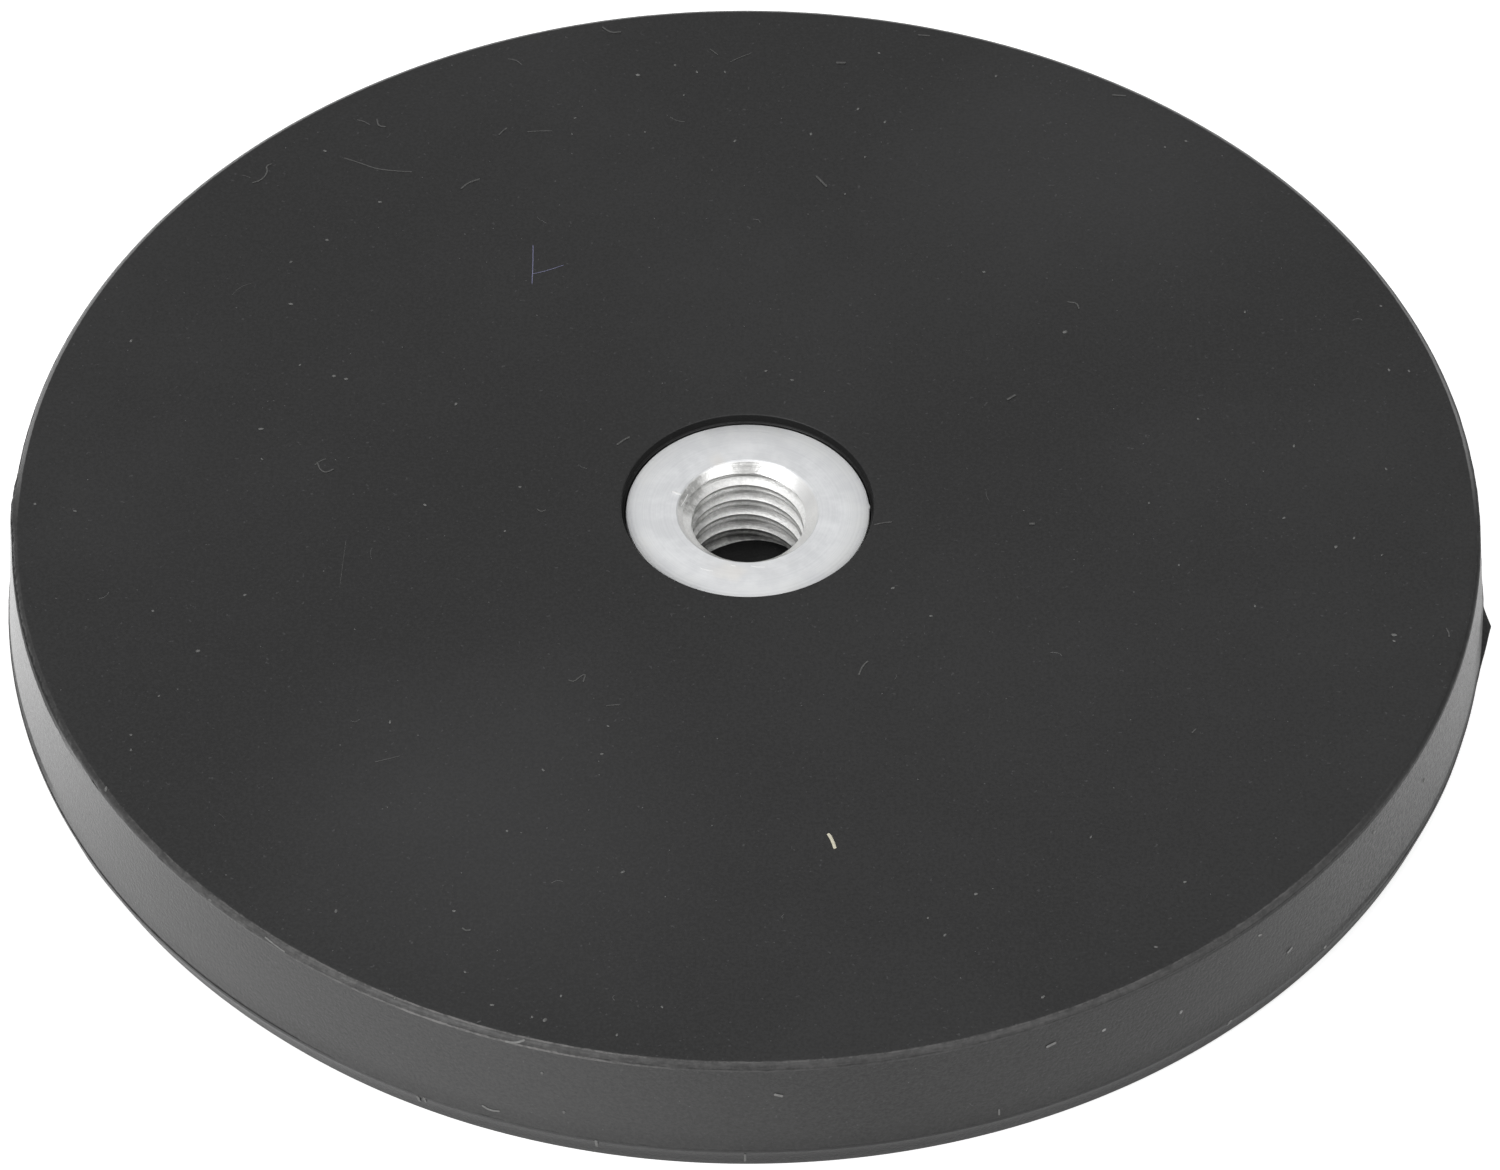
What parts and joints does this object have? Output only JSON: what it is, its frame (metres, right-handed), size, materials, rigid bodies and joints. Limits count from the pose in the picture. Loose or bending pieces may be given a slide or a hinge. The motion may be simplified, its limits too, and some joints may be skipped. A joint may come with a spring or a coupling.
{
  "type": "rubber-jacketed pot magnet",
  "caption": "Flat round magnet in a black moulded rubber jacket, with a threaded steel bush at its centre for bolting a load to a steel surface.",
  "frame": {"origin": "centre of the magnet face, the flat rubber face that grips steel", "axes": "+Z out of the thread's mouth, away from the steel that the magnet grips; +X towards the torn flash on the parting line"},
  "size_m": [0.0883, 0.088, 0.0085],
  "materials": {
    "rubber": "matte",
    "zinc_plated_steel": "satin",
    "plate_steel": "satin",
    "nickel_plate": "polished"
  },
  "bodies": {
    "root": {"rubber_jacket": "rubber", "steel_plate": "plate_steel", "threaded_bush": "zinc_plated_steel", "outer_magnet_01": "nickel_plate", "outer_magnet_02": "nickel_plate", "outer_magnet_03": "nickel_plate", "outer_magnet_04": "nickel_plate", "outer_magnet_05": "nickel_plate", "outer_magnet_06": "nickel_plate", "outer_magnet_07": "nickel_plate", "outer_magnet_08": "nickel_plate", "outer_magnet_09": "nickel_plate", "outer_magnet_10": "nickel_plate", "outer_magnet_11": "nickel_plate", "outer_magnet_12": "nickel_plate", "inner_magnet_01": "nickel_plate", "inner_magnet_02": "nickel_plate", "inner_magnet_03": "nickel_plate", "inner_magnet_04": "nickel_plate", "inner_magnet_05": "nickel_plate", "inner_magnet_06": "nickel_plate"}
  },
  "joints": []
}
